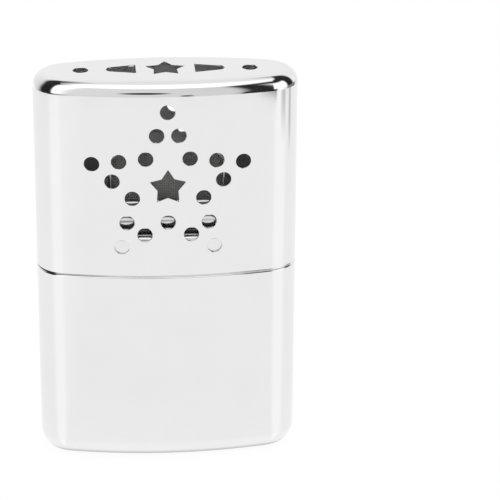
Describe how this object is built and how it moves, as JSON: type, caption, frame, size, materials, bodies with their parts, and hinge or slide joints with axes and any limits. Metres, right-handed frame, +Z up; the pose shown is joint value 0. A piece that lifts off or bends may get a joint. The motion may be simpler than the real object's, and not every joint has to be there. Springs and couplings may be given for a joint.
{
  "type": "catalytic hand warmer",
  "caption": "Oval sheet-metal pocket hand warmer: fuel tank with a filler neck, a pull-off catalytic burner head, and a perforated pull-off lid over it.",
  "frame": {"origin": "centre of the flat bottom, on the surface it stands on", "axes": "+Z up through the lid, +Y towards the back wall, +X to the right seen from the front"},
  "size_m": [0.066, 0.023, 0.1034],
  "materials": {
    "case_chrome": "polished chrome plate on drawn sheet",
    "collar_chrome": "chrome plate with fine rub marks from the lid",
    "neck_plate": "nickel plate, slightly dull",
    "grid_steel": "bare punched plate",
    "felt": "pressed wool felt",
    "cotton": "loose absorbent cotton",
    "burner_plate": "bright plate on thin sheet",
    "screen_wire": "woven wire, darkened",
    "catalyst_fibre": "grey mineral fibre mat"
  },
  "bodies": {
    "tank": {"tank_shell": "case_chrome", "tank_collar": "collar_chrome", "filler_neck": "neck_plate", "wick_grid": "grid_steel", "wick_felt": "felt", "cotton_pack": "cotton"},
    "lid": {"lid_shell": "case_chrome"},
    "burner": {"burner_skirt": "burner_plate", "burner_floor": "grid_steel", "burner_arch": "burner_plate", "screen_front": "screen_wire", "screen_back": "screen_wire", "catalyst_mat": "catalyst_fibre"}
  },
  "joints": [
    {"name": "lid_pull_off", "type": "slide", "parent": "tank", "child": "lid", "axis": [0, 0, 1], "range_m": [0, 0.05]},
    {"name": "burner_pull_off", "type": "slide", "parent": "tank", "child": "burner", "axis": [0, 0, 1], "range_m": [0, 0.016]}
  ]
}
